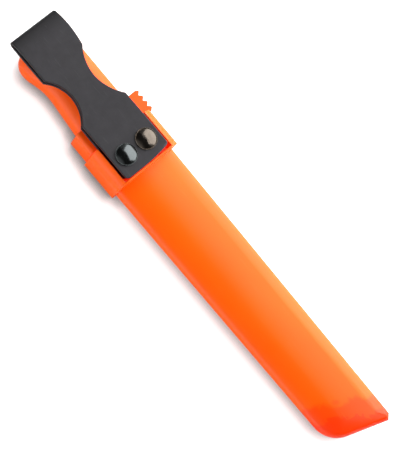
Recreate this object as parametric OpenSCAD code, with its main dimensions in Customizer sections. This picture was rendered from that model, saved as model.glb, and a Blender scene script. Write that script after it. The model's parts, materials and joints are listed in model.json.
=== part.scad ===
// Rigging knife carried in a moulded sheath, with a fold-over belt loop held
// shut by two press studs. The long axis is X with the sheath's tip at +X,
// the blade's spine is toward +Y, and the belt loop lies on top at +Z.

/* [Overall] */
// Length over everything, from the strap's fold to the sheath's tip
overall_l = 348.5; // [300:0.5:420]
// Length of the sheath, from its mouth to its tip
sheath_l = 258.6; // [230:0.2:310]

/* [Sheath body] */
// Width of the sheath body beside the collar
body_w = 49.5; // [46:0.5:60]
// Width of the sheath body at its tip
tip_w = 45.3; // [42:0.1:56]
// Thickness of the sheath body at its middle
body_t = 18; // [15:0.5:22]
// Thickness of the sheath's moulded wall
wall = 2.6; // [2:0.1:3.5]
// Radius of the body's long edges
edge_r = 5.5; // [4:0.5:7]
// Distance the body's middle plane lies below the knife's middle plane
body_drop = 1; // [0:0.1:2]
// Slope of the tip's end edge, in degrees from square
tip_slope = 20.3; // [0:0.1:25]
// Radius of the rounded corner at the tip
tip_r = 20; // [14:0.5:24]
// Size of the small corner cut on the spine side of the tip
tip_cut = 3.4; // [2:0.1:6]
// Diameter of the drain hole near the tip
drain_d = 5; // [3:0.5:8]

/* [Sheath collar] */
// Width of the collar over its two side rails
collar_w = 52.6; // [50:0.2:64]
// Length of the collar, from the mouth to the step
collar_l = 29.4; // [26:0.2:40]
// Radius of the rails' upper outer edges
rail_r = 9.5; // [6:0.5:10]
// Radius of the collar's lower outer edges
collar_r = 5; // [3:0.5:8]
// Distance the rails' ends are set back at their outer corners
mouth_back = 0.8; // [0:0.1:4]
// Thickness of the lip at the strap's end
lip_t = 1.2; // [1:0.1:2.5]
// Distance the rails and the lip stand below the strap's top face
rail_drop = 1.9; // [0.5:0.1:4]

/* [Belt loop] */
// Width of the strap
strap_w = 39.4; // [34:0.2:46]
// Thickness of the strap
strap_t = 2.4; // [2:0.1:3.5]
// Clear height between the two layers of the loop
loop_gap = 4.2; // [3.8:0.1:6]
// Width of the strap at its waist
waist_w = 21.8; // [16:0.2:30]
// Length of the waisted part of the strap
waist_l = 41.4; // [30:0.2:50]
// Distance from the strap's fold to the middle of its waist
waist_from_fold = 52.8; // [40:0.1:60]
// Radius of the strap end's corner on the edge side
strap_r = 3.5; // [2:0.5:6]
// Clearance between the strap and the sides and end of its recess
strap_gap = 0.5; // [0.3:0.1:1]

/* [Press studs] */
// Diameter of the domed caps
cap_d = 15; // [12:0.5:17]
// Height of the domed caps
cap_h = 3.2; // [2:0.1:4]
// Distance between the two press studs
snap_pitch = 17.2; // [16:0.2:22]
// Distance from the step to the press studs
snap_back = 14.8; // [11:0.2:18]
// Diameter of the stud and post flanges
flange_d = 11; // [9:0.5:12]
// Diameter of the stud's head
knob_d = 6.3; // [5:0.1:7]
// Diameter of the posts and barrels
post_d = 3.6; // [3:0.1:4.5]
// Clearance on each side of a post in its hole
post_gap = 0.05; // [0.02:0.01:0.1]
// Clearance around the stud's head inside the socket
snap_gap = 0.2; // [0.15:0.01:0.4]
// Diameter of the socket's spring wire
wire_d = 0.7; // [0.5:0.1:1]

/* [Handle] */
// Thickness of the handle
handle_t = 23; // [19:0.5:26]
// Distance from the blade's middle line to the handle's spine side
grip_top = 21.2; // [18:0.2:24]
// Distance from the middle line to the handle's hooked butt
grip_hook = 21.4; // [18:0.2:25]
// Distance from the middle line to the handle's finger side at the guard
grip_front = 20; // [17:0.2:23]
// Distance from the strap's fold to the butt
butt_back = 8.6; // [7:0.1:16]
// Slope of the hook's inner side, in degrees
hook_slope = 19.6; // [10:0.2:30]
// Slope of the grip toward the guard, in degrees
grip_slope = 5.3; // [2:0.1:8]
// Radius of the finger dip's middle line
dip_r = 40; // [30:1:60]
// Length of the guard
guard_l = 16.4; // [10:0.1:20]
// Distance from the middle line to the finger guard's end
guard_reach = 24; // [22:0.2:26]
// Distance from the guard's rear end to the thumb rest
thumb_in = 1; // [0:0.1:3]
// Distance from the middle line to the teeth of the thumb rest
thumb_reach = 31; // [28:0.2:34]
// Thickness of the thumb rest
thumb_t = 11; // [8:0.5:16]
// Spacing of the teeth of the thumb rest
tooth_pitch = 4.5; // [3.5:0.1:5]
// Depth of the teeth
tooth_h = 1.9; // [1:0.1:2.5]
// Length of the nose that seats in the sheath's mouth
nose_l = 25; // [18:0.5:28]
// Width of the nose
nose_w = 39.2; // [34:0.2:42]
// Thickness of the nose
nose_t = 17; // [14:0.5:18]
// Radius of the nose's long edges
nose_r = 4; // [2:0.5:6]
// Clearance around the nose in the sheath's mouth
nose_gap = 0.25; // [0.1:0.05:0.5]
// Gap between the guard and the sheath's mouth
guard_gap = 0.3; // [0.2:0.05:0.6]
// Clearance between the handle and the strap over it
grip_gap = 0.4; // [0.3:0.1:1]

/* [Blade] */
// Thickness of the blade
blade_t = 3.2; // [2:0.1:4.5]
// Width of the blade
blade_w = 38; // [30:0.5:39]
// Width of the blade's ground side
grind_w = 23; // [12:0.5:30]
// Length of the full-thickness part next to the handle
ricasso_l = 9; // [4:0.5:20]
// Clearance between the blade's end and the inside of the sheath's tip
blade_gap = 2.6; // [2.2:0.1:5]
// Width of the tang
tang_w = 24; // [16:0.5:28]
// Outer diameter of the lanyard tube
tube_d = 8; // [6:0.5:10]
// Wall thickness of the lanyard tube
tube_t = 0.8; // [0.5:0.1:1.2]

/* [Hidden] */
$fn = 96;
eps = 0.01;
far = 400;

// positions along X
fold_x = -overall_l / 2;
tip_x = overall_l / 2;
mouth_x = tip_x - sheath_l;
step_x = mouth_x + collar_l;
recess_x = step_x - lip_t;
nose_x = mouth_x + nose_l;
throat_x = nose_x + 0.5;
snap_x = step_x - snap_back;
guard_x = mouth_x - guard_l;
butt_x = fold_x + butt_back;

// heights from the knife's middle plane
throat_h = nose_t / 2 + nose_gap;
front_z = -max(throat_h + wall, handle_t / 2 + grip_gap);
strap_z = handle_t / 2 + grip_gap;
flap_z = strap_z + strap_t + loop_gap;
top_z = flap_z + strap_t;
rail_z = top_z - rail_drop;

// position of the knife's middle line in the shared frame
axis_y = -(thumb_reach - collar_w / 2) / 2;
axis_z = -front_z;

// lens section of the sheath body: two crowns blended into round edges
half_w = body_w / 2;
half_t = body_t / 2;
crown_r = (pow(half_w - edge_r, 2) + pow(half_t, 2) - pow(edge_r, 2)) / (2 * (half_t - edge_r));
lens_a = asin((half_w - edge_r) / (crown_r - edge_r));

// outline of the sheath body, each side as a point, a direction and an inward normal
taper_a = atan((body_w - tip_w) / 2 / (tip_x - step_x));
end_a = 90 - tip_slope;
end_y = tip_w / 2 - tip_cut;
side_n = [-sin(taper_a), cos(taper_a)];
end_n = [-sin(end_a), cos(end_a)];
side_b = tip_r + side_n * [step_x, -half_w];
end_b = tip_r + end_n * [tip_x, end_y];
tip_det = side_n[0] * end_n[1] - side_n[1] * end_n[0];
tip_c = [
    (side_b * end_n[1] - side_n[1] * end_b) / tip_det,
    (side_n[0] * end_b - side_b * end_n[0]) / tip_det
];
tip_chord = (tip_c - tip_r * end_n) - (tip_c - tip_r * side_n);
chord_a = atan2(tip_chord[1], tip_chord[0]);
corner_n = 9;
function corner_angle(k) = taper_a + k * (end_a - taper_a) / corner_n;
function corner_point(k) = tip_c + tip_r * [sin(corner_angle(k)), -cos(corner_angle(k))];

// middle lines of the handle's rounded sides
grip_r = handle_t / 2;
line_top = grip_top - grip_r;
line_hook = -(grip_hook - grip_r);
line_front = -(grip_front - grip_r);
butt_c = butt_x + grip_r;
hook_x = butt_c + 4;
tan_h = tan(hook_slope);
tan_g = tan(grip_slope);
dip_x = (line_front + tan_g * guard_x - line_hook + tan_h * hook_x) / (tan_h + tan_g);
dip_y = line_hook + tan_h * (dip_x - hook_x);
dip_a = (hook_slope + grip_slope) / 2;
dip_l = dip_r * tan(dip_a);
dip_1 = [dip_x - dip_l * cos(hook_slope), dip_y - dip_l * sin(hook_slope)];
dip_2 = [dip_x + dip_l * cos(grip_slope), dip_y - dip_l * sin(grip_slope)];
dip_c = [dip_1[0] + dip_r * sin(hook_slope), dip_1[1] - dip_r * cos(hook_slope)];
ring_n = 48;

// belt loop
recess_w = strap_w + 2 * strap_gap;
loop_h = 2 * strap_t + loop_gap;
fold_c = fold_x + loop_h / 2;
hinge_x = fold_c + 1;
flap_x = hinge_x + 0.3;
strap_end = recess_x - strap_gap;
waist_x = fold_x + waist_from_fold;
waist_d = (strap_w - waist_w) / 2;
waist_r = (pow(waist_l / 2, 2) + pow(waist_d, 2)) / (2 * waist_d);

// press studs, heights from the underside of the strap's rear layer
flange_t = 0.6;
stud_h = loop_gap - 1.6;
neck_z = strap_t + flange_t;
knob_z = strap_t + stud_h;
roll_t = 0.3;
roll_d = post_d + 1.2;
neck_d = knob_d - 1.1;
neck_h = 0.9;
socket_d = flange_d + 1;
socket_z = neck_z + 0.3;
socket_top = strap_t + loop_gap;
roof_t = 0.7;
socket_in = knob_d + 2 * snap_gap + 0.2;
ring_r = knob_d / 2 + snap_gap + wire_d / 2;
ring_z = socket_z + 1.05;
head_t = 0.9;
head_z = throat_h + 0.3 - strap_z;
cap_z = socket_top + strap_t;
cap_r = (pow(cap_d / 2, 2) + pow(cap_h, 2)) / (2 * cap_h);
cap_t = 0.6;

// lanyard tube
tube_x = butt_c + 4.5;

module in_frame()
    translate([0, axis_y, axis_z])
        children();

// extrudes a (Y, Z) section along X
module along_x(x0, x1)
    translate([x0, 0, 0])
        rotate([90, 0, 90])
            linear_extrude(x1 - x0)
                children();

// rectangle between two corners with round corners of radius r
module round_rect(x0, y0, x1, y1, r) {
    translate([x0 + r, y0])
        square([x1 - x0 - 2 * r, y1 - y0]);
    translate([x0, y0 + r])
        square([x1 - x0, y1 - y0 - 2 * r]);
    for (x = [x0 + r, x1 - r])
        for (y = [y0 + r, y1 - r])
            translate([x, y])
                circle(r);
}

// everything on the inner side of a line through p in direction a
module half_plane(p, a)
    translate(p)
        rotate(a)
            translate([-far, 0])
                square([2 * far, far]);

// edge profile of the sheath body: round at the rim, then rising past the crowns
module rim_profile(inset) {
    r = edge_r - inset;
    f = lens_a + 6;
    n = 14;
    u = far * [cos(f), sin(f)];
    c = [edge_r, 0];
    polygon([
        c + r * [-sin(f), cos(f)] + u,
        for (i = [0:n])
            c + r * [cos(90 + f + i * (180 - 2 * f) / n), sin(90 + f + i * (180 - 2 * f) / n)],
        c + r * [-sin(f), -cos(f)] + [u[0], -u[1]]
    ]);
}

// lens between the two crowns
module crown_profile(inset) {
    r = crown_r - inset;
    c = crown_r - half_t;
    m = acos(c / r);
    n = 32;
    polygon([
        for (i = [0:n])
            [r * sin(m * (2 * i / n - 1)), r * cos(m * (2 * i / n - 1)) - c],
        for (i = [n - 1:-1:1])
            [r * sin(m * (2 * i / n - 1)), c - r * cos(m * (2 * i / n - 1))]
    ]);
}

module rim(p, a, inset)
    translate([p[0], p[1], 0])
        rotate([0, 0, a])
            along_x(-far, far)
                rim_profile(inset);

// outline of the sheath body moved inward by an inset
module outline_2d(inset) {
    intersection() {
        half_plane([step_x, -half_w] + inset * side_n, taper_a);
        half_plane([tip_x, end_y] + inset * end_n, end_a);
        half_plane([tip_x - inset * sqrt(0.5), end_y - inset * sqrt(0.5)], 135);
        half_plane([step_x, half_w - inset / cos(taper_a)], 180 - taper_a);
        half_plane(tip_c - (tip_r - inset) * side_n, chord_a);
    }
    translate(tip_c)
        circle(tip_r - inset);
}

// sheath body from x0 to the tip, moved inward by an inset
module body_form(x0, inset)
    translate([0, 0, -body_drop])
        intersection() {
            along_x(x0, tip_x + 1)
                crown_profile(inset);
            rim([step_x, -half_w], taper_a, inset);
            rim([tip_x, end_y], end_a, inset);
            rim([tip_x, end_y], 135, inset);
            rim([step_x, half_w], 180 - taper_a, inset);
            intersection_for (k = [1:corner_n - 1])
                rim(corner_point(k), corner_angle(k), inset);
        }

// collar section: high rails with large upper radii, smaller lower radii
module collar_profile() {
    w = collar_w / 2;
    translate([-w + rail_r, 0])
        square([collar_w - 2 * rail_r, rail_z]);
    translate([-w, front_z + collar_r])
        square([collar_w, rail_z - rail_r - front_z - collar_r]);
    translate([-w + collar_r, front_z])
        square([collar_w - 2 * collar_r, -front_z]);
    for (s = [-1, 1]) {
        translate([s * (w - rail_r), rail_z - rail_r])
            circle(rail_r);
        translate([s * (w - collar_r), front_z + collar_r])
            circle(collar_r);
    }
}

// plan of everything on the tip side of the mouth, its outer corners set back
module mouth_plan(back) {
    b = recess_w / 2;
    s = mouth_back / (collar_w / 2 - b);
    o = 12;
    polygon([
        [mouth_x - back, -b], [mouth_x - back + s * o, -b - o], [far, -b - o],
        [far, b + o], [mouth_x - back + s * o, b + o], [mouth_x - back, b]
    ]);
}

module nose_profile(gap)
    round_rect(
        -nose_w / 2 - gap, -nose_t / 2 - gap,
        nose_w / 2 + gap, nose_t / 2 + gap, nose_r + gap
    );

module at_snap(side)
    translate([snap_x, side * snap_pitch / 2, strap_z])
        children();

module sheath_shell()
    color("#FF6A10")
        in_frame()
            difference() {
                union() {
                    intersection() {
                        along_x(mouth_x, step_x)
                            collar_profile();
                        linear_extrude(2 * far, center = true)
                            mouth_plan(0);
                    }
                    body_form(step_x - 6, 0);
                }
                // cavity for the blade
                body_form(throat_x - 0.5, wall);
                // throat for the handle's nose
                along_x(mouth_x - 1, throat_x)
                    nose_profile(nose_gap);
                // recess for the strap
                translate([mouth_x - 5, -recess_w / 2, strap_z])
                    cube([recess_x - mouth_x + 5, recess_w, far]);
                // holes and counterbores for the stud posts
                for (side = [-1, 1])
                    at_snap(side) {
                        translate([0, 0, -10])
                            cylinder(h = 20, d = post_d + 2 * post_gap);
                        translate([0, 0, head_z + head_t - 5])
                            cylinder(h = 5, d = flange_d - 1);
                    }
                // drain hole in the front near the tip
                translate([tip_c[0] + 6, tip_c[1] + 4, -far])
                    cylinder(h = far - body_drop, d = drain_d);
            }

// strap blank between two positions along X
module strap_plan(x0, x1)
    difference() {
        translate([x0, -strap_w / 2])
            square([x1 - x0, strap_w]);
        for (s = [-1, 1])
            translate([waist_x, s * (waist_w / 2 + waist_r)])
                circle(waist_r, $fn = 160);
        for (s = [-1, 1])
            difference() {
                translate([strap_end - strap_r, s * (strap_w / 2 - strap_r) - (s < 0 ? strap_r + 1 : 0)])
                    square([strap_r + 1, strap_r + 1]);
                translate([strap_end - strap_r, s * (strap_w / 2 - strap_r)])
                    circle(strap_r);
            }
    }

module strap_holes()
    for (side = [-1, 1])
        translate([snap_x, side * snap_pitch / 2])
            circle(d = post_d + 2 * post_gap);

module strap_back()
    color("#3C3C3E")
        in_frame() {
            translate([0, 0, strap_z])
                linear_extrude(strap_t)
                    difference() {
                        strap_plan(fold_c, strap_end);
                        strap_holes();
                    }
            translate([fold_c - eps, -strap_w / 2, flap_z])
                cube([hinge_x - fold_c + eps, strap_w, strap_t]);
            intersection() {
                translate([fold_c, 0, strap_z + loop_h / 2])
                    rotate([90, 0, 0])
                        difference() {
                            cylinder(h = strap_w, d = loop_h, center = true);
                            cylinder(h = strap_w + 2, d = loop_gap, center = true);
                        }
                translate([fold_x - 1, -strap_w, 0])
                    cube([fold_c - fold_x + 1, 2 * strap_w, far]);
            }
        }

module strap_flap()
    color("#3C3C3E")
        in_frame()
            translate([0, 0, flap_z])
                linear_extrude(strap_t)
                    difference() {
                        strap_plan(flap_x, strap_end);
                        strap_holes();
                    }

// post: a flat head in the sheath's counterbore, riveted over the stud
module snap_post(side)
    color("#6A6A70")
        in_frame()
            at_snap(side) {
                translate([0, 0, head_z])
                    cylinder(h = head_t, d = flange_d - 2);
                translate([0, 0, head_z])
                    cylinder(h = knob_z - head_z, d = post_d);
                translate([0, 0, knob_z])
                    cylinder(h = roll_t, d = roll_d);
            }

// stud: a flange on the strap with a necked head
module snap_stud(side)
    color("#6A6A70")
        in_frame()
            at_snap(side)
                difference() {
                    union() {
                        translate([0, 0, strap_t])
                            cylinder(h = flange_t, d = flange_d);
                        translate([0, 0, strap_t])
                            cylinder(h = knob_z - strap_t, d = neck_d);
                        translate([0, 0, neck_z + neck_h])
                            cylinder(h = knob_z - neck_z - neck_h, d = knob_d);
                    }
                    cylinder(h = far, d = post_d + 2 * post_gap);
                }

// cap: a hollow dome with a barrel riveted inside the socket
module snap_cap(side)
    color("#2E2F34")
        in_frame()
            at_snap(side) {
                difference() {
                    intersection() {
                        translate([0, 0, cap_z + cap_h - cap_r])
                            sphere(cap_r);
                        translate([0, 0, cap_z])
                            cylinder(h = cap_h + 1, d = cap_d);
                    }
                    intersection() {
                        translate([0, 0, cap_z + cap_h - cap_r])
                            sphere(cap_r - cap_t);
                        translate([0, 0, cap_z - 1])
                            cylinder(h = cap_h + 1, d = cap_d - 2 * cap_t);
                    }
                }
                translate([0, 0, socket_top - roof_t])
                    cylinder(h = cap_z + cap_h - cap_t / 2 - socket_top + roof_t, d = post_d);
                translate([0, 0, socket_top - roof_t - roll_t])
                    cylinder(h = roll_t, d = roll_d);
            }

// socket: takes the stud's head, with a groove for the spring ring
module snap_socket(side)
    color("#6A6A70")
        in_frame()
            at_snap(side)
                difference() {
                    translate([0, 0, socket_z])
                        cylinder(h = socket_top - socket_z, d = socket_d);
                    translate([0, 0, socket_z - 1])
                        cylinder(h = socket_top - roof_t - socket_z + 1, d = socket_in);
                    translate([0, 0, ring_z - wire_d / 2 - 0.1])
                        cylinder(h = wire_d + 0.2, r = ring_r + wire_d / 2 + 0.3);
                    cylinder(h = far, d = post_d + 2 * post_gap);
                }

// spring: a split ring of wire in the socket's groove
module snap_spring(side)
    color("#B9BCC0")
        in_frame()
            at_snap(side)
                translate([0, 0, ring_z])
                    difference() {
                        rotate_extrude()
                            translate([ring_r, 0])
                                circle(d = wire_d, $fn = 24);
                        translate([0, -0.6, -1])
                            cube([10, 1.2, 2]);
                    }

// blade outline with its tang, in plan
module tang_plan()
    translate([butt_c, -tang_w / 2])
        square([nose_x - butt_c + eps, tang_w]);

module blade_profile() {
    h = blade_t / 2;
    e = -blade_w / 2;
    polygon([
        [blade_w / 2, h], [e + grind_w, h], [e + 1.2, 0.45], [e, 0.1],
        [e, -0.1], [e + 1.2, -0.45], [e + grind_w, -h], [blade_w / 2, -h]
    ]);
}

module blade()
    color("#C6CAD0")
        in_frame()
            difference() {
                union() {
                    intersection() {
                        along_x(nose_x, tip_x)
                            blade_profile();
                        linear_extrude(blade_t + 2, center = true)
                            outline_2d(wall + blade_gap);
                    }
                    translate([nose_x, -blade_w / 2, -blade_t / 2])
                        cube([ricasso_l, blade_w, blade_t]);
                    linear_extrude(blade_t, center = true)
                        tang_plan();
                }
                translate([tube_x, 0, -far])
                    cylinder(h = 2 * far, d = tube_d);
            }

// how full the grip's section is at x, closing over the round butt
function grip_full(x) = x < butt_c ? sqrt(max(0, 1 - pow((butt_c - x) / grip_r, 2))) : 1;

// middle line of the grip's finger side: hook, slope, dip and slope
function grip_line(x) =
    x < hook_x ? line_hook
    : x < dip_1[0] ? line_hook + tan_h * (x - hook_x)
    : x < dip_2[0] ? dip_c[1] + sqrt(pow(dip_r, 2) - pow(x - dip_c[0], 2))
    : dip_y - tan_g * (x - dip_x);
function grip_soft(x) = (grip_line(x - 3) + grip_line(x - 1) + grip_line(x + 1) + grip_line(x + 3)) / 4;

// one rounded section of the grip
function grip_ring(x) =
    let (r = grip_r * grip_full(x), t = line_top + r, b = grip_soft(x) - r)
    [
        for (i = [0:ring_n - 1])
            let (c = cos(360 * i / ring_n), s = sin(360 * i / ring_n))
            [
                x,
                (t + b) / 2 + (t - b) / 2 * sign(c) * pow(abs(c), 0.78),
                r * sign(s) * pow(abs(s), 0.78)
            ]
    ];

module grip() {
    xs = concat(
        [for (a = [10:10:80]) butt_c - grip_r * cos(a)],
        [for (i = [0:18]) butt_c + (guard_x + 1 - butt_c) * i / 18]
    );
    k = len(xs);
    polyhedron(
        points = [for (x = xs) each grip_ring(x)],
        faces = [
            [for (i = [0:ring_n - 1]) i],
            [for (i = [ring_n - 1:-1:0]) (k - 1) * ring_n + i],
            for (j = [0:k - 2])
                for (i = [0:ring_n - 1])
                    let (a = j * ring_n + i, b = j * ring_n + (i + 1) % ring_n)
                    each [[a, a + ring_n, b], [b, a + ring_n, b + ring_n]]
        ]
    );
}

// toothed thumb rest in plan
module thumb_plan() {
    x0 = guard_x + thumb_in;
    y1 = thumb_reach;
    y0 = y1 - tooth_h;
    c = 0.45;
    polygon([
        [x0, 0], [x0, y0], [x0 + 1, y1], [x0 + 1 + 2 * c, y1],
        for (i = [1:3])
            each [
                [x0 + 1 + c + (i - 0.5) * tooth_pitch, y0],
                [x0 + 1 + i * tooth_pitch, y1],
                [x0 + 1 + 2 * c + i * tooth_pitch, y1]
            ],
        [x0 + 1 + c + 3.45 * tooth_pitch, y0],
        [x0 + 1 + c + 3.45 * tooth_pitch, collar_w / 2 + guard_gap + 0.2],
        [x0, collar_w / 2 + guard_gap + 0.2]
    ]);
}

module guard() {
    intersection() {
        along_x(guard_x, mouth_x + 8)
            round_rect(-guard_reach, -handle_t / 2, grip_top + 1, handle_t / 2, nose_r);
        linear_extrude(handle_t, center = true)
            difference() {
                translate([guard_x, 0])
                    round_rect(0, -guard_reach, 2 * guard_l, guard_reach, 2);
                mouth_plan(guard_gap);
            }
    }
    linear_extrude(thumb_t, center = true)
        difference() {
            union() {
                thumb_plan();
                translate([guard_x + thumb_in, 0])
                    square([guard_l, collar_w / 2 + guard_gap + 0.3]);
            }
            intersection() {
                mouth_plan(guard_gap);
                translate([-far, -far])
                    square([2 * far, far + collar_w / 2 + guard_gap]);
            }
        }
}

module handle()
    color("#FF5A1E")
        in_frame()
            difference() {
                union() {
                    grip();
                    guard();
                    along_x(mouth_x - 5, nose_x)
                        nose_profile(0);
                }
                linear_extrude(blade_t, center = true)
                    tang_plan();
                translate([tube_x, 0, -far])
                    cylinder(h = 2 * far, d = tube_d);
            }

module lanyard_tube()
    color("#9A9CA0")
        in_frame()
            translate([tube_x, 0, 0])
                difference() {
                    cylinder(h = handle_t, d = tube_d, center = true);
                    cylinder(h = handle_t + 2, d = tube_d - 2 * tube_t, center = true);
                }

sheath_shell();
strap_back();
snap_post(-1);  // snap_post_a
snap_post(1);  // snap_post_b
snap_stud(-1);  // snap_stud_a
snap_stud(1);  // snap_stud_b
strap_flap();
snap_cap(-1);  // snap_cap_a
snap_cap(1);  // snap_cap_b
snap_socket(-1);  // snap_socket_a
snap_socket(1);  // snap_socket_b
snap_spring(-1);  // snap_spring_a
snap_spring(1);  // snap_spring_b
handle();
blade();
lanyard_tube();
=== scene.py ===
"""Looks for a sheathed rigging knife: moulded plastic, a folded leather loop and plated press studs."""

import json
import math

import bmesh
import bpy
from mathutils import Matrix, Vector


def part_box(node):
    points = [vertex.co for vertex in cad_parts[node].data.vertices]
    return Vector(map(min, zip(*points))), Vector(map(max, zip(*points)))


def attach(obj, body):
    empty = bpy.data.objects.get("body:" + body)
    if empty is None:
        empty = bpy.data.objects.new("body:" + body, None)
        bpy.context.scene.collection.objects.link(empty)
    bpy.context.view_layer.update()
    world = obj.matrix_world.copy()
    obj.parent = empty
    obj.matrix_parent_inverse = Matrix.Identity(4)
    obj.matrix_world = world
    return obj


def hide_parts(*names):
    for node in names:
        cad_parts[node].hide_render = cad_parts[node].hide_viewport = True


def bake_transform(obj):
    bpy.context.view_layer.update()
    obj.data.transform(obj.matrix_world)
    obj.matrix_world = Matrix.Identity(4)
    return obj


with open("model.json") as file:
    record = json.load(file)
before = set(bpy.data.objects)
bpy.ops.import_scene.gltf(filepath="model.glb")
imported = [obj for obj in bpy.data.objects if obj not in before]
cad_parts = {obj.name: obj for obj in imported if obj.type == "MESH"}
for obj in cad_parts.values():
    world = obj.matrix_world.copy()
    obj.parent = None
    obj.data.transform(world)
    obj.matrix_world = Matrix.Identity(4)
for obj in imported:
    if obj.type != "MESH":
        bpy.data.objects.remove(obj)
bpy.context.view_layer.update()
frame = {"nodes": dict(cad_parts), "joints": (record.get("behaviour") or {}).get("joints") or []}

bl_info = {
    "name": "Rigging Knife Set",
    "version": (1, 0, 0),
    "blender": (4, 5, 0),
    "location": "3D View > Sidebar > Rigging Knife",
    "description": "Dresses a sheathed rigging knife: plastics, belt loop, press studs and studio",
    "category": "Add Mesh",
}

# ------------------------------------------------------------------ sizes read from the frame
rear_lo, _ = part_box("strap_back")
flap_lo, flap_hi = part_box("strap_flap")
cap_lo, cap_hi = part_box("snap_cap_a")
cap_b_lo, cap_b_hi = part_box("snap_cap_b")
_, sheath_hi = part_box("sheath_shell")
hinge = [j for j in frame["joints"] if j["name"] == "flap_open"][0]["pos_m"]

STRAP_T = flap_hi.z - flap_lo.z
STRAP_W = flap_hi.y - flap_lo.y
STRAP_Y = (flap_hi.y + flap_lo.y) / 2
FOLD_X = rear_lo.x
STRAP_END = flap_hi.x

# details of the strap's outline, in metres
SPINE_BOW = 0.0011  # bow of the spine-side edge between the fold and its scallop
END_RAKE = 0.0019  # how far the end falls back toward the spine side
SPINE_CORNER = 0.0022  # radius of the end's spine-side corner
SHAPED_END = 0.008  # length at the free end over which the outline is shaped
REAR_SHORTER = 0.0016  # distance the rear layer stops short of the front layer
FOLD_CORNER = (0.0012, 0.002)  # depth and length of the trim at the fold's spine-side corner
PINCH_SPAN = (0.016, 0.09)  # distances from the fold between which the layers lean together
# The leather's darkening toward the fold is painted shade.
FOLD_SHADE = 0.014  # length over which the leather darkens toward the fold

# details of a press stud's cap under its dome, in metres
SHAFT_R = 0.0018  # radius of the shaft through the strap
SHOULDER = 0.0008  # width of the shoulder where the shaft meets the dome
RIM_LIFT = 0.00005  # gap between the lip's inner edge and the strap
HOLLOW = 0.0004  # depth of the hollow inside the lip
FLARE = (0.0006, 0.0003)  # width and height of the flared foot that holds the socket


# ------------------------------------------------------------------ settings shown in the sidebar
class StrapSettings(bpy.types.PropertyGroup):
    edge_low: bpy.props.FloatProperty(
        name="Edge side trim", description="Distance the strap's edge-side rim lies inside its full width",
        default=0.0008, min=0.0, max=0.002, unit="LENGTH")
    edge_high: bpy.props.FloatProperty(
        name="Spine side trim", description="Distance the strap's spine-side rim lies inside its full width",
        default=0.0011, min=0.0, max=0.002, unit="LENGTH")
    low_scallop: bpy.props.FloatVectorProperty(
        name="Edge-side scallop", description="Where it starts and ends from the fold, and its depth",
        default=(0.0347, 0.0727, 0.0082), size=3, min=0.004, max=0.08, unit="LENGTH")
    high_scallop: bpy.props.FloatVectorProperty(
        name="Spine-side scallop", description="Where it starts and ends from the fold, and its depth",
        default=(0.0307, 0.0727, 0.0072), size=3, min=0.004, max=0.08, unit="LENGTH")
    fold_inset: bpy.props.FloatProperty(
        name="Fold inset", description="Distance the fold's outer face lies inside the strap's full length",
        default=0.001, min=0.0, max=0.002, unit="LENGTH")
    fold_slope: bpy.props.FloatProperty(
        name="Fold slope", description="Slope of the front layer where it leaves the fold",
        default=math.radians(13), min=0, max=math.radians(20), subtype="ANGLE")
    fold_reach: bpy.props.FloatProperty(
        name="Fold reach", description="Length over which the front layer rises from the fold",
        default=0.013, min=0.005, max=0.02, unit="LENGTH")
    pinch: bpy.props.FloatProperty(
        name="Pinch", description="How far each layer leans toward the other at the waist",
        default=0.0013, min=0.0, max=0.0018, unit="LENGTH")
    corner: bpy.props.FloatProperty(
        name="End corner", description="Radius of the strap end's rounded corner",
        default=0.0035, min=0.001, max=0.006, unit="LENGTH")
    edge_round: bpy.props.FloatProperty(
        name="Edge rounding", description="Radius of the burnished edges",
        default=0.0005, min=0.0001, max=0.001, unit="LENGTH")


class StudSettings(bpy.types.PropertyGroup):
    diameter: bpy.props.FloatProperty(
        name="Cap diameter", description="Diameter of a press stud's domed cap",
        default=cap_hi.x - cap_lo.x, min=0.01, max=0.018, unit="LENGTH")
    height: bpy.props.FloatProperty(
        name="Cap height", description="Height of the dome over the strap",
        default=cap_hi.z - flap_hi.z, min=0.001, max=0.004, unit="LENGTH")
    lip: bpy.props.FloatProperty(
        name="Rolled lip", description="Radius of the rolled edge around the cap",
        default=0.00045, min=0.0002, max=0.0008, unit="LENGTH")


class ColourSettings(bpy.types.PropertyGroup):
    sheath: bpy.props.FloatVectorProperty(
        name="Sheath", description="Colour of the moulded sheath", subtype="COLOR",
        size=3, min=0, max=1, default=(0.95, 0.11, 0.001))
    handle: bpy.props.FloatVectorProperty(
        name="Handle", description="Colour of the moulded handle", subtype="COLOR",
        size=3, min=0, max=1, default=(0.95, 0.104, 0.005))
    leather: bpy.props.FloatVectorProperty(
        name="Leather", description="Colour of the strap's finished faces", subtype="COLOR",
        size=3, min=0, max=1, default=(0.0243, 0.0226, 0.0262))
    leather_edge: bpy.props.FloatVectorProperty(
        name="Leather edge", description="Colour of the strap's cut edges", subtype="COLOR",
        size=3, min=0, max=1, default=(0.024, 0.023, 0.0225))
    cap: bpy.props.FloatVectorProperty(
        name="Stud cap", description="Colour of the edge-side cap's dark plating", subtype="COLOR",
        size=3, min=0, max=1, default=(0.17, 0.187, 0.19))
    cap_warm: bpy.props.FloatVectorProperty(
        name="Tarnished cap", description="Colour of the spine-side cap's tarnished plating", subtype="COLOR",
        size=3, min=0, max=1, default=(0.225, 0.19, 0.158))


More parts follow.
